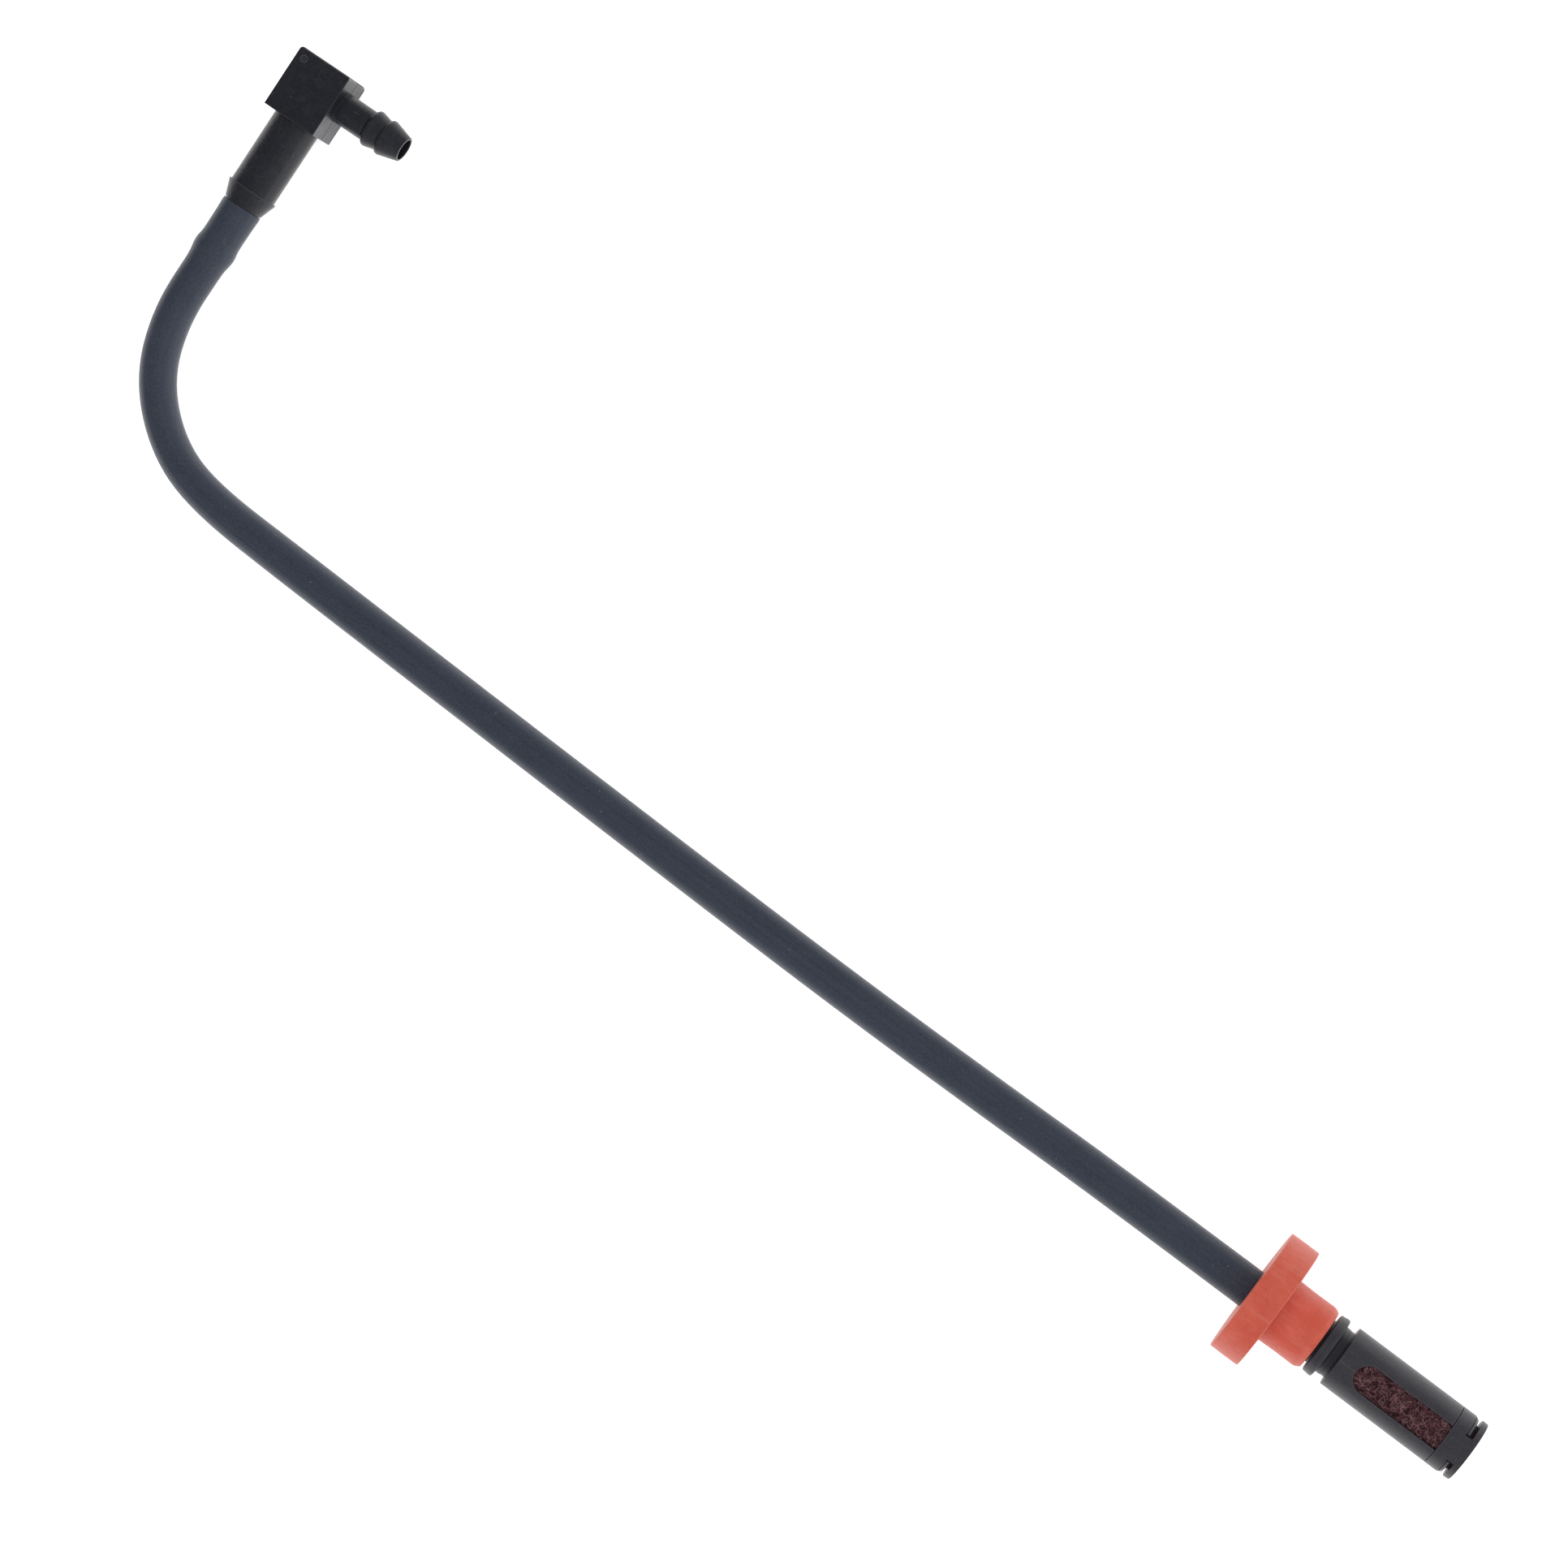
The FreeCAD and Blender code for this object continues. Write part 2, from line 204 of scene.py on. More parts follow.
class Shader:
    """A small helper that builds one Principled material's node tree."""

    def __init__(self, name, **constants):
        self.material = bpy.data.materials.new(name)
        self.material.use_nodes = True
        self.tree = self.material.node_tree
        self.principled = self.tree.nodes["Principled BSDF"]
        for socket, value in constants.items():
            self.principled.inputs[socket.replace("_", " ")].default_value = value

    def node(self, kind, **settings):
        made = self.tree.nodes.new(kind)
        for key, value in settings.items():
            setattr(made, key, value)
        return made

    def link(self, output, target):
        self.tree.links.new(output, target)

    def place(self, stretch=(1, 1, 1), source="Object"):
        """Coordinates fixed to the piece, stretched to draw out a pattern."""
        coordinates = self.node("ShaderNodeTexCoord")
        mapping = self.node("ShaderNodeMapping")
        mapping.inputs["Scale"].default_value = stretch
        self.link(coordinates.outputs[source], mapping.inputs["Vector"])
        return mapping.outputs["Vector"]

    def noise(self, scale, detail=3.0, roughness=0.5, where=None, distortion=0.0):
        made = self.node("ShaderNodeTexNoise")
        made.inputs["Scale"].default_value = scale
        made.inputs["Detail"].default_value = detail
        made.inputs["Roughness"].default_value = roughness
        made.inputs["Distortion"].default_value = distortion
        self.link(where or self.place(), made.inputs["Vector"])
        return made.outputs["Fac"]

    def spots(self, scale, reach, where=None):
        """Small round specks: 1 at their middles, 0 between them."""
        cells = self.node("ShaderNodeTexVoronoi")
        cells.inputs["Scale"].default_value = scale
        self.link(where or self.place(), cells.inputs["Vector"])
        return self.ramp(cells.outputs["Distance"], [(0.0, 1.0), (reach, 0.0)])

    def occlusion(self, reach, inside):
        """How open the piece is within a reach of its surface, outside it or within it."""
        made = self.node("ShaderNodeAmbientOcclusion", samples=6, inside=inside, only_local=True)
        made.inputs["Distance"].default_value = reach
        return made.outputs["AO"]

    def wear_and_highlight(self, colour, worn_and_lit, amount, reach=0.0003):
        """A colour lightened along the piece's raised edges: partly rubbed wear, partly a painted
        highlight where the edges catch light.
        """
        edge = self.ramp(self.occlusion(reach, True), [(0.50, amount), (0.92, 0.0)])
        return self.mix(edge, colour, worn_and_lit)

    def painted_hollow_shade(self, colour, dark, amount, reach=0.002):
        """A colour darkened in the piece's narrow hollows, as painted shade where little light
        reaches.
        """
        hollow = self.ramp(self.occlusion(reach, False), [(0.62, amount), (0.94, 0.0)])
        return self.mix(hollow, colour, dark)

    def ramp(self, value, stops):
        """A ramp of greys or colours over a value."""
        made = self.node("ShaderNodeValToRGB")
        elements = made.color_ramp.elements
        while len(elements) < len(stops):
            elements.new(0.5)
        for element, (position, colour) in zip(elements, stops):
            element.position = position
            grey = isinstance(colour, (int, float))
            element.color = (colour,) * 3 + (1,) if grey else (*colour, 1)
        self.link(value, made.inputs["Fac"])
        return made.outputs["Color"]

    def mix(self, amount, first, second):
        """Two colours mixed by an amount, each a socket or a constant."""
        made = self.node("ShaderNodeMix", data_type="RGBA")
        for socket, value in ((made.inputs["Factor"], amount), (made.inputs[6], first),
                              (made.inputs[7], second)):
            if isinstance(value, (int, float)):
                socket.default_value = value
            elif isinstance(value, tuple):
                socket.default_value = (*value, 1)
            else:
                self.link(value, socket)
        return made.outputs[2]

    def add(self, first, second, weight=1.0):
        made = self.node("ShaderNodeMath", operation="MULTIPLY_ADD")
        self.link(second, made.inputs[0])
        made.inputs[1].default_value = weight
        self.link(first, made.inputs[2])
        return made.outputs[0]

    def colour(self, socket):
        self.link(socket, self.principled.inputs["Base Color"])

    def rough(self, value, low, high):
        made = self.node("ShaderNodeMapRange")
        made.inputs["To Min"].default_value = low
        made.inputs["To Max"].default_value = high
        self.link(value, made.inputs["Value"])
        self.link(made.outputs["Result"], self.principled.inputs["Roughness"])

    def bump(self, height, depth, strength=1.0):
        made = self.node("ShaderNodeBump")
        made.inputs["Strength"].default_value = strength
        made.inputs["Distance"].default_value = depth
        self.link(height, made.inputs["Height"])
        self.link(made.outputs["Normal"], self.principled.inputs["Normal"])


def hose_rubber():
    """Slate rubber: die lines along the hose, handled patches, grain and a little pale dust."""
    shader = Shader("hose_rubber", Specular_IOR_Level=0.28)
    around = shader.place((26.0, 5.0, 1.0), source="UV")
    lines = shader.noise(1.0, 4.0, 0.6, where=around)
    patches = shader.noise(85.0, 4.0, 0.65, where=shader.place((1.0, 1.6, 1.6)))
    grain = shader.noise(2300.0, 4.0, 0.7)
    base = shader.mix(shader.ramp(lines, [(0.3, 0.0), (0.7, 1.0)]),
                      (0.0215, 0.0275, 0.0435), (0.0345, 0.0425, 0.0650))
    handled = shader.ramp(patches, [(0.45, 0.0), (0.75, 0.35)])
    base = shader.mix(handled, base, (0.040, 0.048, 0.070))
    base = shader.mix(shader.ramp(grain, [(0.44, 0.0), (0.70, 0.65)]), base, (0.056, 0.065, 0.088))
    scratch = shader.noise(1.0, 3.0, 0.7, where=shader.place((170.0, 34.0, 1.0), source="UV"))
    scratched = shader.ramp(scratch, [(0.64, 0.0), (0.76, 0.45)])
    base = shader.mix(scratched, base, (0.095, 0.105, 0.125))
    dust = shader.spots(240.0, 0.075)
    base = shader.mix(shader.ramp(dust, [(0.0, 0.0), (1.0, 0.5)]), base, (0.20, 0.21, 0.23))
    pits = shader.spots(280.0, 0.09, where=shader.place((1.0, 1.2, 0.9)))
    base = shader.mix(shader.ramp(pits, [(0.0, 0.0), (1.0, 0.7)]), base, (0.010, 0.012, 0.018))
    shader.colour(base)
    shader.rough(patches, 0.28, 0.44)
    shader.bump(shader.add(grain, lines, 2.0), 0.00006, 0.8)
    return shader.material


def elbow_plastic(name, rough_low, rough_high, painted_brightness=1.0, **constants):
    """Black glass-filled nylon: satin grain, blotchy flow marks, scuffs, dust, and edges lightened
    as part wear, part painted highlight.
    """
    shader = Shader(name, **constants)
    grain = shader.noise(1500.0, 5.0, 0.7)
    flow = shader.noise(330.0, 5.0, 0.65, distortion=1.2)
    cloud = shader.noise(130.0, 3.0, distortion=0.8)
    dark, light = (0.0082, 0.0089, 0.0134), (0.0150, 0.0157, 0.0214)
    # A painted brightness above 1 makes a lighter copy of this plastic, painted light for faces
    # that catch more of the floor's light.
    base = shader.mix(cloud, tuple(c * painted_brightness for c in dark), tuple(c * painted_brightness for c in light))
    base = shader.mix(shader.ramp(flow, [(0.48, 0.0), (0.75, 0.6)]), base, (0.024, 0.0245, 0.030))
    base = shader.mix(shader.ramp(grain, [(0.50, 0.0), (0.75, 0.6)]), base, (0.030, 0.031, 0.037))
    scuff = shader.noise(900.0, 4.0, 0.75, distortion=3.0)
    base = shader.mix(shader.ramp(scuff, [(0.64, 0.0), (0.80, 0.5)]), base, (0.065, 0.066, 0.072))
    dust = shader.spots(420.0, 0.09)
    base = shader.mix(shader.ramp(dust, [(0.0, 0.0), (1.0, 0.5)]), base, (0.16, 0.16, 0.165))
    # Raised edges lightened: part wear, part painted highlight.
    shader.colour(shader.wear_and_highlight(base, (0.085, 0.086, 0.094), 0.45))
    shader.rough(flow, rough_low, rough_high)
    shader.bump(shader.add(grain, flow, 2.0), 0.00006, 0.8)
    return shader.material


def grommet_rubber():
    """Orange-red rubber: soft mottling, pale bloom, fine grain, dark and chalky specks, and a
    painted highlight along its raised edges.
    """
    shader = Shader("grommet_rubber", Specular_IOR_Level=0.4)
    mottle = shader.noise(190.0, 5.0, 0.6, distortion=0.8)
    grain = shader.noise(1500.0, 4.0, 0.65)
    base = shader.mix(shader.ramp(mottle, [(0.3, 0.0), (0.7, 1.0)]),
                      (0.545, 0.073, 0.040), (0.625, 0.112, 0.070))
    bloom = shader.noise(75.0, 4.0, 0.6, where=shader.place((0.7, 1.0, 1.0)))
    base = shader.mix(shader.ramp(bloom, [(0.48, 0.0), (0.78, 0.5)]), base, (0.590, 0.145, 0.100))
    drag = shader.noise(420.0, 4.0, 0.7, where=shader.place((0.10, 1.0, 1.0)))
    base = shader.mix(shader.ramp(drag, [(0.54, 0.0), (0.72, 0.5)]), base, (0.62, 0.180, 0.130))
    base = shader.mix(shader.ramp(grain, [(0.50, 0.0), (0.75, 0.6)]), base, (0.50, 0.070, 0.041))
    specks = shader.spots(300.0, 0.075)
    base = shader.mix(shader.ramp(specks, [(0.0, 0.0), (1.0, 0.75)]), base, (0.20, 0.026, 0.020))
    chalk = shader.spots(340.0, 0.07, where=shader.place((1.0, 1.3, 0.8)))
    base = shader.mix(shader.ramp(chalk, [(0.0, 0.0), (1.0, 0.65)]), base, (0.80, 0.50, 0.42))
    # Raised edges lightened as a painted highlight where they catch light.
    shader.colour(shader.wear_and_highlight(base, (0.74, 0.34, 0.27), 0.5, reach=0.0004))
    shader.rough(mottle, 0.34, 0.54)
    shader.bump(shader.add(grain, mottle, 2.0), 0.00008, 0.8)
    return shader.material


def filter_plastic():
    """Charcoal polypropylene: fine eroded grain, drag marks along the draw, light scuffs, edges
    lightened as part wear and part painted highlight, and painted shade in the hollows.
    """
    shader = Shader("filter_plastic", Specular_IOR_Level=0.32)
    grain = shader.noise(1900.0, 5.0, 0.7)
    drag = shader.noise(380.0, 4.0, 0.6, where=shader.place((0.3, 1.0, 1.0)))
    base = shader.mix(shader.ramp(drag, [(0.3, 0.0), (0.7, 1.0)]),
                      (0.0265, 0.0260, 0.0330), (0.0360, 0.0355, 0.0430))
    base = shader.mix(shader.ramp(grain, [(0.48, 0.0), (0.75, 0.55)]), base, (0.062, 0.061, 0.070))
    scuff = shader.noise(800.0, 5.0, 0.75, distortion=2.5)
    base = shader.mix(shader.ramp(scuff, [(0.64, 0.0), (0.82, 0.5)]), base, (0.11, 0.108, 0.118))
    # Raised edges, windows and mould line lightened: part wear, part painted highlight.
    base = shader.wear_and_highlight(base, (0.125, 0.125, 0.135), 0.3)
    # Painted shade: the narrow hollows, the neck most, darkened nearly to black.
    shader.colour(shader.painted_hollow_shade(base, (0.005, 0.005, 0.009), 0.95))
    shader.rough(drag, 0.27, 0.42)
    shader.bump(shader.add(grain, drag, 0.5), 0.00006, 0.8)
    return shader.material


def felt_core():
    """The bed of the felt, seen between its filaments, coloured near-black as painted shade for the
    depth between them.
    """
    shader = Shader("felt_core", Specular_IOR_Level=0.2)
    clump = shader.noise(900.0, 5.0, 0.7)
    # Near-black red-brown: painted shade between the filaments.
    shader.colour(shader.ramp(clump, [(0.3, (0.010, 0.005, 0.008)), (0.75, (0.055, 0.022, 0.028))]))
    shader.rough(clump, 0.8, 0.95)
    shader.bump(clump, 0.0002)
    return shader.material


def felt_fibres():
    """Red-brown filaments, each of its own tone from nearly black to pale pink, the deeper ones
    painted darker as shade.
    """
    shader = Shader("felt_fibres", Specular_IOR_Level=0.25)
    # The shade attribute holds each filament's random tone, darkened with depth as painted shade.
    shade = shader.node("ShaderNodeAttribute", attribute_name="shade").outputs["Fac"]
    strand = shader.noise(480.0, 5.0, 0.7)
    shader.colour(shader.ramp(shader.add(shade, strand, 0.5), [
        (0.20, (0.009, 0.003, 0.006)),
        (0.50, (0.064, 0.022, 0.031)),
        (0.85, (0.240, 0.102, 0.120)),
        (1.00, (0.450, 0.265, 0.270)),
    ]))
    shader.rough(strand, 0.5, 0.75)
    return shader.material


def pale_floor():
    """A matt white light table with the faintest tooth."""
    shader = Shader("pale_floor", Specular_IOR_Level=0.1,
                    Emission_Color=(1, 1, 1, 1), Emission_Strength=FLOOR_GLOW)
    tooth = shader.noise(700.0, 3.0)
    shader.colour(shader.mix(tooth, (0.93, 0.93, 0.935), (0.95, 0.95, 0.95)))
    shader.rough(tooth, 0.75, 0.9)
    shader.bump(tooth, 0.00001)
    return shader.material


# ---------------------------------------------------------------- mesh tools, millimetres

def link_mesh(name, mesh):
    piece = bpy.data.objects.new(name, mesh)
    bpy.context.collection.objects.link(piece)
    return piece


def soften(corners, steps=4):
    """An outline of (station, radius, rounding) corners, as points with the corners rounded.

    Rounding is the distance, before and after the corner, that its curve takes."""
    points = []
    count = len(corners)
    for i, (x, r, rounding) in enumerate(corners):
        here = Vector((x, r))
        if rounding <= 0:
            points.append(here)
            continue
        back = Vector(corners[i - 1][:2]) - here
        ahead = Vector(corners[(i + 1) % count][:2]) - here
        start = here + back.normalized() * min(rounding, back.length * 0.45)
        end = here + ahead.normalized() * min(rounding, ahead.length * 0.45)
        for k in range(steps + 1):
            t = k / steps
            points.append(start * (1 - t) ** 2 + here * 2 * t * (1 - t) + end * t ** 2)
    return points


def revolve(name, corners, sides=144):
    """A closed solid of revolution about X from an outline's corners.

    Points on the axis close into a pole, so an outline may start and end on the axis."""
    points = soften(corners)
    bm = bmesh.new()
    rings = []
    for point in points:
        if point.y < 1e-6:
            rings.append([bm.verts.new((point.x, 0, 0))])
            continue
        rings.append([
            bm.verts.new((point.x, point.y * math.cos(a), point.y * math.sin(a)))
            for a in (2 * math.pi * k / sides for k in range(sides))
        ])
    for ring, after in zip(rings, rings[1:] + rings[:1]):
        if len(ring) == 1 and len(after) == 1:
            continue
        for k in range(sides):
            n = (k + 1) % sides
            quad = [ring[k % len(ring)], ring[n % len(ring)],
                    after[n % len(after)], after[k % len(after)]]
            bm.faces.new(list(dict.fromkeys(quad)))
    bmesh.ops.recalc_face_normals(bm, faces=bm.faces)
    mesh = bpy.data.meshes.new(name)
    bm.to_mesh(mesh)
    bm.free()
    return link_mesh(name, mesh)


def prism(name, outline, low, high):
    """A solid between two heights over an outline in the XY plane."""
    bm = bmesh.new()
    bottom = [bm.verts.new((x, y, low)) for x, y in outline]
    top = [bm.verts.new((x, y, high)) for x, y in outline]
    bm.faces.new(bottom[::-1])
    bm.faces.new(top)
    for i in range(len(outline)):
        j = (i + 1) % len(outline)
        bm.faces.new((bottom[i], bottom[j], top[j], top[i]))
    bmesh.ops.recalc_face_normals(bm, faces=bm.faces)
    mesh = bpy.data.meshes.new(name)
    bm.to_mesh(mesh)
    bm.free()
    return link_mesh(name, mesh)


def box_outline(x_low, x_high, y_low, y_high):
    return [(x_low, y_low), (x_high, y_low), (x_high, y_high), (x_low, y_high)]


def bake_modifiers(piece):
    """Keep the piece's evaluated shape as its mesh."""
    shown = piece.evaluated_get(bpy.context.evaluated_depsgraph_get())
    mesh = bpy.data.meshes.new_from_object(shown)
    piece.modifiers.clear()
    piece.data = mesh


def combine(piece, tool, operation):
    """Join or cut the piece with a tool, and drop the tool."""
    modifier = piece.modifiers.new("combine", "BOOLEAN")
    modifier.operation = operation
    modifier.solver = "EXACT"
    modifier.object = tool
    bake_modifiers(piece)
    bpy.data.objects.remove(tool)


def absorb(piece, other):
    """Add another piece's closed shells to this one's mesh."""
    bm = bmesh.new()
    bm.from_mesh(piece.data)
    bm.from_mesh(other.data)
    bm.to_mesh(piece.data)
    bm.free()
    bpy.data.objects.remove(other)


def move(piece, matrix):
    piece.data.transform(matrix)


def soft_edges(piece, width, angle=50.0, segments=2):
    """Break the sharp edges that cutting left."""
    modifier = piece.modifiers.new("edges", "BEVEL")
    modifier.width = width
    modifier.segments = segments
    modifier.limit_method = "ANGLE"
    modifier.angle_limit = math.radians(angle)
    modifier.use_clamp_overlap = False
    bake_modifiers(piece)


def finish_piece(piece, materials, body, place=AS_BUILT, smooth_angle=32.0):
    """Shade, scale to metres, set in place, give the materials and ride on a CAD body."""
    for polygon in piece.data.polygons:
        polygon.use_smooth = True
    piece.data.set_sharp_from_angle(angle=math.radians(smooth_angle))
    weighted = piece.modifiers.new("normals", "WEIGHTED_NORMAL")
    weighted.keep_sharp = True
    bake_modifiers(piece)
    mesh = piece.data
    mesh.transform(place @ Matrix.Scale(MM, 4))
    mesh.materials.clear()
    for material in materials:
        mesh.materials.append(material)
    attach(piece, body)


# ---------------------------------------------------------------- hose

def route_points():
    """Points along the NURBS line that the route's points steer."""
    curve = bpy.data.curves.new("route", "CURVE")
    curve.dimensions = "3D"
    spline = curve.splines.new("NURBS")
    spline.points.add(len(ROUTE) - 1)
    for point, place in zip(spline.points, ROUTE):
        point.co = (*place, 1.0)
    spline.order_u = 3
    spline.use_endpoint_u = True
    spline.resolution_u = 32
    carrier = bpy.data.objects.new("route", curve)
    mesh = bpy.data.meshes.new_from_object(carrier)
    points = [vertex.co.copy() for vertex in mesh.vertices]
    bpy.data.objects.remove(carrier)
    bpy.data.meshes.remove(mesh)
    return points


def hose_radius(to_elbow):
    """The hose's outer radius at a distance from its elbow end, stretched over the nipple."""
    stretched = HOSE_STRETCH / (1 + math.exp((to_elbow - ELBOW_NIPPLE) / 0.6))
    spread = 1.75 if to_elbow < BULGE_AT else 2.9
    barb = HOSE_BULGE * math.exp(-((to_elbow - BULGE_AT) / spread) ** 2)
    lip = HOSE_LIP * math.exp(-to_elbow / 2.4)
    return HOSE_OUTER / 2 + stretched + barb + lip


def hose_oval(to_elbow):
    """How far the round section is squeezed at a distance from the hose's elbow end."""
    return BEND_OVAL * math.exp(-((to_elbow - BEND_AT) / BEND_SPREAD) ** 2)


def make_hose(material, sides=72):
    """The hose as one closed tube: outer skin, two end faces and its bore."""
    points = route_points()
    lengths = [0.0]
    for a, b in zip(points, points[1:]):
        lengths.append(lengths[-1] + (b - a).length)
    total = lengths[-1]
    bm = bmesh.new()
    uv = bm.loops.layers.uv.new("UVMap")
    along = (points[1] - points[0]).normalized()
    side = Vector((0, 0, 1)).cross(along).normalized()
    outer, inner = [], []
    for i, point in enumerate(points):
        ahead = points[min(i + 1, len(points) - 1)]
        behind = points[max(i - 1, 0)]
        tangent = (ahead - behind).normalized()
        side = (side - tangent * side.dot(tangent)).normalized()
        third = tangent.cross(side)
        to_elbow = (total - lengths[i]) / MM
        end_gap = min(lengths[i] / MM, to_elbow)
        radius = hose_radius(to_elbow) - HOSE_EDGE * max(0.0, 1 - end_gap / HOSE_EDGE_LENGTH) ** 2
        flat = side * (1 - hose_oval(to_elbow))
        tall = third * (1 + hose_oval(to_elbow) / 2)
        for ring, size in ((outer, radius * MM), (inner, HOSE_BORE / 2 * MM)):
            ring.append([
                bm.verts.new(point + (flat * math.cos(a) + tall * math.sin(a)) * size)
                for a in (2 * math.pi * k / sides for k in range(sides))
            ])

    def skin(first, second, v_first, v_second):
        for k in range(sides):
            n = (k + 1) % sides
            face = bm.faces.new((first[k], first[n], second[n], second[k]))
            corners = ((k, v_first), (k + 1, v_first), (k + 1, v_second), (k, v_second))
            for loop, (u, v) in zip(face.loops, corners):
                loop[uv].uv = (u / sides, v)

    for i in range(len(points) - 1):
        skin(outer[i], outer[i + 1], lengths[i], lengths[i + 1])
        skin(inner[i + 1], inner[i], lengths[i + 1], lengths[i])
    skin(inner[0], outer[0], 0.0, 0.0)
    skin(outer[-1], inner[-1], total, total)
    bmesh.ops.recalc_face_normals(bm, faces=bm.faces)
    mesh = bpy.data.meshes.new("hose_tube")
    bm.to_mesh(mesh)
    bm.free()
    mesh.materials.append(material)
    for polygon in mesh.polygons:
        polygon.use_smooth = True
    mesh.set_sharp_from_angle(angle=math.radians(50))
    hose = link_mesh("hose_tube", mesh)
    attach(hose, "hose_body")
    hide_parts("hose")
    return hose, points, total


# ---------------------------------------------------------------- elbow

def nipple_outline(tip, shoulder):
    """A hose nipple with two low barbs, from its tip to the shoulder it grows from."""
    inner, waist, peak = NIPPLE_BORE / 2, NIPPLE_WAIST / 2, NIPPLE / 2
    return [
        (tip, inner, 0), (tip, waist, 0.2), (tip + 3.0, peak, 0.15), (tip + 3.3, waist, 0.1),
        (tip + 7.0, peak, 0.15), (shoulder, peak, 0),
    ]


def elbow_leg():
    """The long round leg with its seat, collar and nipple, along +Y of the elbow's frame."""
    outline = nipple_outline(-ELBOW_NIPPLE, 0.04) + [
        (0.04, 4.62, 0.03), (0.26, 4.62, 0), (0.26, 4.93, 0.12), (COLLAR_END, COLLAR_R, 0.08),
        (COLLAR_END, LEG_R + 0.05, 0), (COLLAR_END + 0.15, LEG_R, 0),
        (OUTLET_STATION, LEG_R, 0), (OUTLET_STATION, NIPPLE_BORE / 2, 0),
    ]
    leg = revolve("elbow_leg", outline)
    move(leg, Matrix.Rotation(math.pi / 2, 4, "Z"))
    return leg


def elbow_outlet():
    """The short outlet with its two barbs, along +X of the elbow's frame."""
    face = BLOCK_HALF  # where the outlet leaves the block
    outlet = revolve("elbow_outlet", [
        (1.0, 0, 0), (1.0, 3.95, 0), (face, 3.95, 0), (face + 0.5, 3.86, 0.3),
        (face + 8.1, OUTLET_R, 0.08), (face + 8.75, 4.62, 0.12), (face + 9.35, 4.68, 0.12),
        (face + 12.2, 3.95, 0.06), (face + 12.7, 4.52, 0.12), (face + 13.3, 4.57, 0.12),
        (face + OUTLET_LENGTH, 3.16, 0.12), (face + OUTLET_LENGTH, 0, 0),
    ])
    move(outlet, Matrix.Translation((0, OUTLET_STATION, 0)))
    return outlet


def bevel_edges(bm, edges, width, segments):
    bmesh.ops.bevel(bm, geom=edges, offset=width, segments=segments, profile=0.5,
                    affect="EDGES", clamp_overlap=True)


def block_half(side, grow):
    """Half of the square block, above or below its parting plane, rounded at its far end."""
    bm = bmesh.new()
    bmesh.ops.create_cube(bm, size=1.0)
    half = BLOCK_HALF + grow
    for vertex in bm.verts:
        x, y, z = vertex.co
        vertex.co = (2 * x * half,
                     BLOCK_START if y < 0 else BLOCK_END,
                     BLOCK_HALF * side if z * side > 0 else 0.0)

    def at_far_end(edge):
        on_plane = all(abs(v.co.z) < 1e-6 for v in edge.verts)
        return not on_plane and all(v.co.y > BLOCK_END - 1e-6 for v in edge.verts)

    bevel_edges(bm, [e for e in bm.edges if at_far_end(e)], FAR_CORNER, 6)
    crisp = [e for e in bm.edges if e.calc_face_angle(0) > 1.0
             and not all(abs(v.co.z) < 1e-6 for v in e.verts)]
    bevel_edges(bm, crisp, BLOCK_EDGE, 3)
    bmesh.ops.recalc_face_normals(bm, faces=bm.faces)
    mesh = bpy.data.meshes.new("block_half")
    bm.to_mesh(mesh)
    bm.free()
    return link_mesh("block_half", mesh)


def parting_flash():
    """The fine ridge that the mould left round the block, at its mid plane."""
    half, corner = BLOCK_HALF + 0.03, FAR_CORNER + 0.02
    arcs = []
    for x, start in ((half - corner, 0), (corner - half, math.pi / 2)):
        for k in range(7):
            angle = start + math.pi / 2 * k / 6
            arcs.append((x + corner * math.cos(angle),
                         BLOCK_END - corner + corner * math.sin(angle)))
    outline = [(-half, BLOCK_START + 0.3), (half, BLOCK_START + 0.3)] + arcs
    return prism("flash", outline, -0.05, 0.03)


def gate_mark(inner, outer, proud):
    """A low raised ring or button, as a gate leaves, near a corner of the block's upper face."""
    top = BLOCK_HALF
    mark = revolve("gate_mark", [
        (top - 0.1, inner, 0), (top + proud * 0.4, inner, 0),
        (top + proud, (inner + outer) / 2, 0.02),
        (top + proud * 0.4, outer, 0), (top - 0.1, outer, 0),
    ], sides=40)
    move(mark, Matrix.Rotation(-math.pi / 2, 4, "Y"))
    move(mark, Matrix.Translation((*GATE_PLACE, 0)))
    return mark


def elbow_place():
    """Where the elbow's own frame lies: its joint's position, +Y along its joint's axis."""
    joint = next(j for j in frame["record"]["behaviour"]["joints"] if j["name"] == "elbow_swivel")
    leg = Vector(joint["axis"]).normalized()
    up = Vector((0, 0, 1))
    outlet = leg.cross(up).normalized()
    turn = Matrix((outlet, leg, up)).transposed().to_4x4()
    return Matrix.Translation(joint["pos_m"]) @ turn


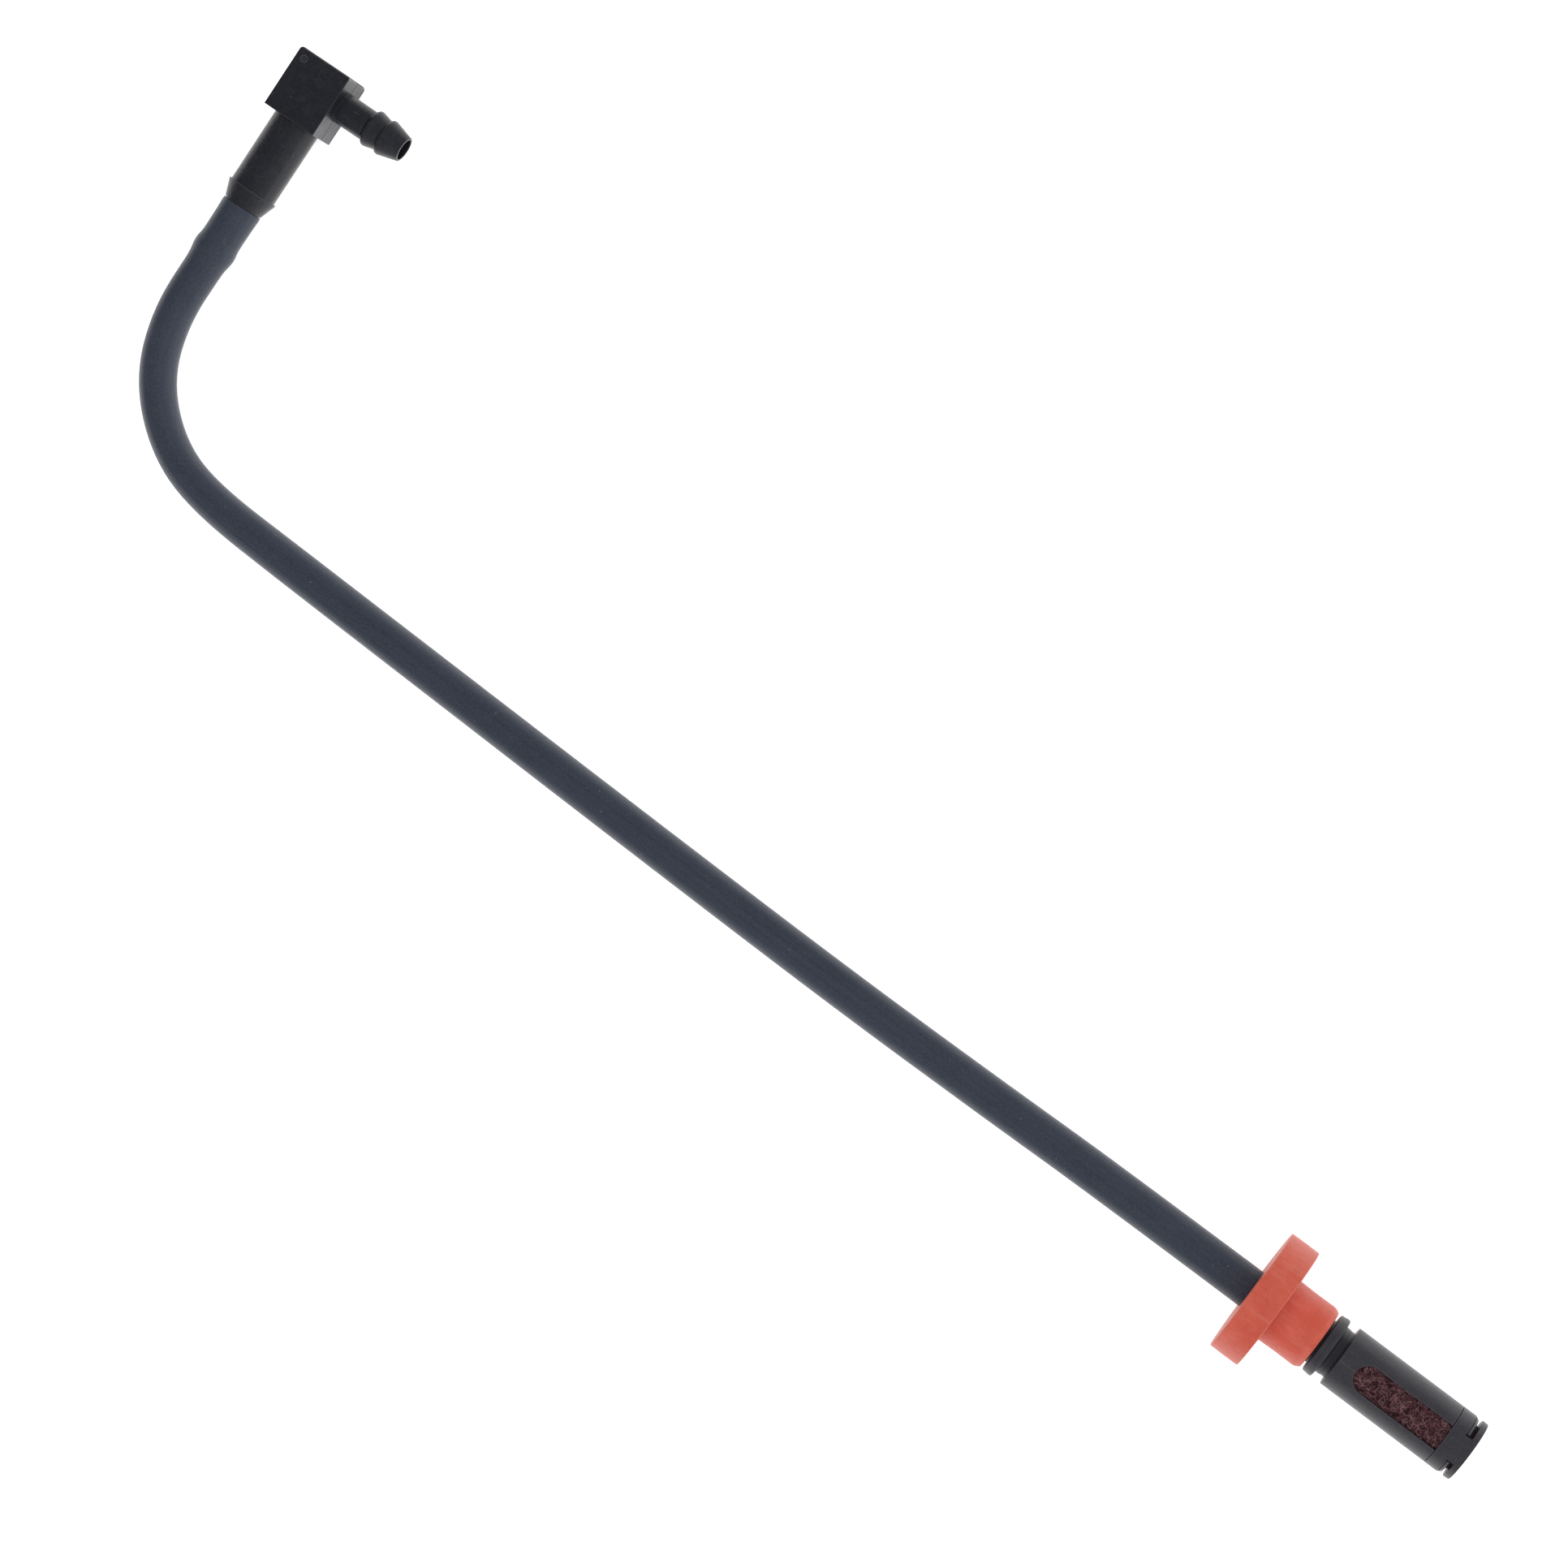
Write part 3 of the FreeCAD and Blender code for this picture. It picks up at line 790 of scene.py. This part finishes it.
def make_elbow(top, side_wall):
    """One moulding: block in two mould halves, leg, barbed outlet, bores and gate mark."""
    elbow = block_half(1, 0.0)
    combine(elbow, block_half(-1, 0.015), "UNION")
    combine(elbow, parting_flash(), "UNION")
    combine(elbow, elbow_leg(), "UNION")
    combine(elbow, elbow_outlet(), "UNION")
    mouth = BLOCK_HALF + OUTLET_LENGTH
    bore = revolve("outlet_bore", [
        (0.0, 0, 0), (0.0, OUTLET_BORE_R, 0), (mouth - 0.4, OUTLET_BORE_R, 0),
        (mouth + 1.2, OUTLET_BORE_R + 0.25, 0), (mouth + 1.2, 0, 0),
    ], sides=72)
    move(bore, Matrix.Translation((0, OUTLET_STATION, 0)))
    combine(elbow, bore, "DIFFERENCE")
    # The block's side walls take the second material: glossier, and painted lighter for the floor's
    # light that they catch.
    for polygon in elbow.data.polygons:
        x, y, _ = polygon.center
        on_side = BLOCK_START < y < BLOCK_END and abs(x) > BLOCK_HALF - 0.1
        polygon.material_index = 1 if on_side and abs(polygon.normal.x) > 0.9 else 0
    absorb(elbow, gate_mark(0.70, 0.90, 0.10))
    absorb(elbow, gate_mark(0.0, 0.22, 0.08))
    elbow.name = "elbow_moulding"
    finish_piece(elbow, (top, side_wall), "elbow_body", elbow_place())
    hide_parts("elbow_connector")
    return elbow


# ---------------------------------------------------------------- grommet

def make_grommet(material):
    """The rubber grommet, with soft edges and a faint swell in its flange."""
    grommet = revolve("grommet_rubber_body", [
        (FLANGE_BACK, GROMMET_BORE_R, 0.2),
        (FLANGE_BACK, FLANGE_R - 0.03, 0.28),
        (FLANGE_BACK / 2, FLANGE_R, 0),
        (0, FLANGE_R - 0.03, 0.28),
        (0, HUB_R + 0.08, 0.3),
        (HUB_END * 0.4, HUB_R - 0.04, 0),
        (HUB_END - 1.2, HUB_R, 0.5),
        (HUB_END, HUB_R - 0.65, 0.22),
        (HUB_END, GROMMET_BORE_R, 0.2),
    ], sides=192)
    finish_piece(grommet, [material], "grommet_body", smooth_angle=60)
    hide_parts("tank_grommet")
    return grommet


# ---------------------------------------------------------------- filter

def window_outline():
    """A window seen from above: a round end at its start, open at the cap's end."""
    centre = WINDOW_START + WINDOW_HALF
    arc = [(centre - WINDOW_HALF * math.sin(a), WINDOW_HALF * math.cos(a))
           for a in (math.pi * k / 24 for k in range(25))]
    return [(WINDOW_END, WINDOW_HALF)] + arc + [(WINDOW_END, -WINDOW_HALF)]


def mould_line(side):
    """A thin ridge where the mould halves met, from the neck to the window."""
    half, proud = 0.045, 0.02
    low, high = sorted((side * (CAGE_R - 0.2), side * (CAGE_R + proud)))
    return prism("mould_line", box_outline(CAGE_START + 0.25, WINDOW_START - 0.05, -half, half),
                 low, high)


def make_cage(material):
    """Nipple, shoulder, rim, neck, slotted sleeve and clip fingers, in one moulding."""
    lip = RING_END + 0.18
    cage = revolve("filter_cage_moulding", nipple_outline(FILTER_START, HOSE_END) + [
        (HOSE_END, 5.7, 0.1), (RIM_START, 5.7, 0),
        (RIM_START, RIM_R - 0.15, 0.5), (RIM_START + 1.3, RIM_R - 0.1, 0),
        (RIM_START + 1.45, RIM_R, 0.12), (RIM_END, RIM_R - 0.03, 0.5),
        (RIM_END, NECK_R, 0.12), (RIM_END + 1.2, NECK_R, 0.04),
        (RIM_END + 1.25, NECK_R - 0.12, 0.04), (CAGE_START, NECK_R - 0.12, 0.08),
        (CAGE_START, CAGE_R, 0.3), (CAGE_END - CAP_GAP, CAGE_R - 0.02, 0.12),
        (CAGE_END - CAP_GAP, FINGER_R, 0), (lip, FINGER_R, 0), (lip, 7.5, 0.1),
        (lip + 0.7, 7.1, 0.1), (lip + 0.7, CAGE_INNER_R, 0.1),
        (CAGE_START + 2.4, CAGE_INNER_R, 0), (CAGE_START + 2.4, NIPPLE_BORE / 2, 0),
    ])
    far = CAGE_R + 2
    combine(cage, prism("window", window_outline(), -far, far), "DIFFERENCE")
    gap = box_outline(CAGE_END, WINDOW_END, -FINGER_HALF, FINGER_HALF)
    combine(cage, prism("gap", gap, -far, far), "DIFFERENCE")
    soft_edges(cage, EDGE_BREAK)
    for side in (1, -1):
        absorb(cage, mould_line(side))
    finish_piece(cage, [material], "filter_body")
    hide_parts("filter_cage")
    return cage


def make_cap(material):
    """The clip-on cap: ring, two legs and the end disc."""
    cap = revolve("end_cap_moulding", [
        (CAGE_END + CAP_GAP, RING_BORE_R, 0.05), (CAGE_END + CAP_GAP, CAGE_R, 0.12),
        (RING_END - 0.3, CAGE_R, 0), (DISC_START + 0.3, CAGE_R - 0.02, 0),
        (CAP_END, CAGE_R - 0.08, 0.25), (CAP_END, 5.2, 0.15), (CAP_END - 0.25, 4.9, 0.1),
        (CAP_END - 0.25, 0, 0),
        (DISC_START, 0, 0), (DISC_START, DISC_BOSS_R, 0),
        (RING_END, DISC_BOSS_R, 0), (RING_END, RING_BORE_R, 0),
    ])
    far = CAGE_R + 2
    for low, high in ((CAP_LEG_HALF, far), (-far, -CAP_LEG_HALF)):
        notch = prism("notch", box_outline(RING_END, DISC_START, low, high), -far, far)
        combine(cap, notch, "DIFFERENCE")
    soft_edges(cap, EDGE_BREAK)
    finish_piece(cap, [material], "filter_body")
    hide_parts("end_cap")
    return cap


def make_felt_core(material):
    """The felt's bed: a lumpy sleeve inside the cage."""
    start, end = CAGE_START + 2.5, DISC_START - 0.1
    stations = [start + (end - start) * k / 60 for k in range(61)]
    outline = [(start, FELT_BORE_R, 0)] + [(x, FELT_BED_R, 0) for x in stations]
    outline += [(end, 0, 0), (end - 4.0, 0, 0), (end - 4.0, FELT_BORE_R, 0)]
    core = revolve("felt_core", outline, sides=120)
    rng = random.Random(4)
    phases = [rng.uniform(0, 6.28) for _ in range(6)]
    for vertex in core.data.vertices:
        x, y, z = vertex.co
        if math.hypot(y, z) < FELT_BED_R - 0.05:
            continue
        angle = math.atan2(z, y)
        lump = math.sin(1.7 * x + phases[0]) * math.sin(5 * angle + phases[1])
        lump += 0.6 * math.sin(3.1 * x + phases[2]) * math.sin(9 * angle + phases[3])
        scale = 1 - 0.018 * (1.2 + lump)
        vertex.co = (x, y * scale, z * scale)
    finish_piece(core, [material], "filter_body")
    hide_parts("filter_element")
    return core


def filament_line(rng, side):
    """The crinkled line of one filament over the felt's bed, and how deep it lies."""
    x = rng.uniform(WINDOW_START - 0.6, CAGE_END + 1.0)
    angle = side * math.pi / 2 + rng.uniform(-0.64, 0.64)
    heading = rng.uniform(0, 2 * math.pi)
    curl = rng.uniform(-0.22, 0.22)
    depth = rng.random()
    wave = rng.uniform(0, 2 * math.pi)
    line = []
    for k in range(rng.randint(5, 8)):
        radius = FILAMENT_TOP_R - FILAMENT_DEPTH * depth + 0.07 * math.sin(wave + 1.6 * k)
        line.append(Vector((x, radius * math.cos(angle), radius * math.sin(angle))))
        ahead = x + FILAMENT_STEP * math.cos(heading)
        x = min(max(ahead, WINDOW_START - 1.0), CAGE_END + 1.2)
        angle += FILAMENT_STEP * math.sin(heading) / radius
        heading += curl + rng.uniform(-0.40, 0.40)
    return line, depth


def add_filament(bm, line, thick):
    """A thin three-sided tube along a line; its vertices."""
    rings = []
    for i, point in enumerate(line):
        tangent = line[min(i + 1, len(line) - 1)] - line[max(i - 1, 0)]
        out = Vector((0, point.y, point.z)).normalized()
        across = tangent.cross(out)
        across = across.normalized() if across.length > 1e-6 else Vector((1, 0, 0))
        size = thick * (0.5 if i in (0, len(line) - 1) else 1.0)
        rings.append([bm.verts.new(point + (out * math.cos(a) + across * math.sin(a)) * size)
                      for a in (2 * math.pi * k / 3 for k in range(3))])
    for first, second in zip(rings, rings[1:]):
        for k in range(3):
            n = (k + 1) % 3
            bm.faces.new((first[k], first[n], second[n], second[k]))
    bm.faces.new(rings[0][::-1])
    bm.faces.new(rings[-1])
    return [vertex for ring in rings for vertex in ring]


def make_felt_fibres(material, count=4000):
    """The filaments that show in the two windows, the deeper ones painted darker as shade."""
    rng = random.Random(11)
    bm = bmesh.new()
    shade = bm.verts.layers.float.new("shade")
    for side in (1, -1):
        for _ in range(count):
            line, depth = filament_line(rng, side)
            # A random tone, darkened with depth as painted shade.
            tone_and_depth_shade = rng.random() * (1 - 0.65 * depth)
            for vertex in add_filament(bm, line, rng.uniform(0.040, 0.070)):
                vertex[shade] = tone_and_depth_shade
    mesh = bpy.data.meshes.new("felt_fibres")
    bm.to_mesh(mesh)
    bm.free()
    fibres = link_mesh("felt_fibres", mesh)
    finish_piece(fibres, [material], "filter_body", smooth_angle=180)
    return fibres


# ---------------------------------------------------------------- floor and light

def make_floor(material):
    size = 12.0
    bm = bmesh.new()
    bmesh.ops.create_grid(bm, x_segments=8, y_segments=8, size=size)
    mesh = bpy.data.meshes.new("floor")
    bm.to_mesh(mesh)
    bm.free()
    mesh.materials.append(material)
    floor = link_mesh("floor", mesh)
    floor.location = (*MIDDLE, FLOOR - FLOOR_GAP)


def make_panel():
    """A large soft panel overhead, kept out of the reflections as a polarised one would be."""
    data = bpy.data.lights.new("panel", "AREA")
    data.size = 1.6
    data.energy = PANEL_POWER
    panel = bpy.data.objects.new("panel", data)
    panel.location = (*MIDDLE, 1.5)
    panel.visible_glossy = False
    panel.visible_camera = False
    bpy.context.collection.objects.link(panel)


def make_tent():
    """A soft white tent, brighter past the filter's end, dim overhead and behind the elbow."""
    world = bpy.data.worlds.new("tent")
    world.use_nodes = True
    tree = world.node_tree
    direction = tree.nodes.new("ShaderNodeTexCoord").outputs["Generated"]
    split = tree.nodes.new("ShaderNodeSeparateXYZ")
    tree.links.new(direction, split.inputs[0])
    ramp = tree.nodes.new("ShaderNodeValToRGB")
    tree.links.new(split.outputs["Z"], ramp.inputs["Fac"])
    elements = ramp.color_ramp.elements
    while len(elements) < len(TENT_RAMP):
        elements.new(0.5)
    for element, (height, brightness) in zip(elements, TENT_RAMP):
        element.position = height
        element.color = (brightness, brightness, brightness, 1)
    toward = tree.nodes.new("ShaderNodeVectorMath")
    toward.operation = "DOT_PRODUCT"
    tree.links.new(direction, toward.inputs[0])
    toward.inputs[1].default_value = TENT_LEAN
    strength = tree.nodes.new("ShaderNodeMath")
    strength.operation = "ADD"
    tree.links.new(toward.outputs["Value"], strength.inputs[0])
    strength.inputs[1].default_value = TENT_LIGHT
    background = tree.nodes["Background"]
    tree.links.new(ramp.outputs["Color"], background.inputs["Color"])
    tree.links.new(strength.outputs[0], background.inputs["Strength"])
    bpy.context.scene.world = world
    bpy.context.scene.view_settings.view_transform = "Standard"


# ---------------------------------------------------------------- the scene

make_camera()
hose, hose_line, hose_length = make_hose(hose_rubber())
# The second material is the same plastic painted three times lighter, as painted light, for the
# block's side walls, with a gloss coat.
elbow = make_elbow(elbow_plastic("elbow_satin", 0.18, 0.34, Specular_IOR_Level=0.32),
                   elbow_plastic("elbow_polished_painted_lighter", 0.05, 0.22, painted_brightness=3.0, Specular_IOR_Level=0.8,
                                 Coat_Weight=1.0, Coat_Roughness=0.08, Coat_IOR=2.4))
make_grommet(grommet_rubber())
plastic = filter_plastic()
make_cage(plastic)
make_cap(plastic)
make_felt_core(felt_core())
make_felt_fibres(felt_fibres())
make_floor(pale_floor())
make_panel()
make_tent()

bpy.context.view_layer.update()
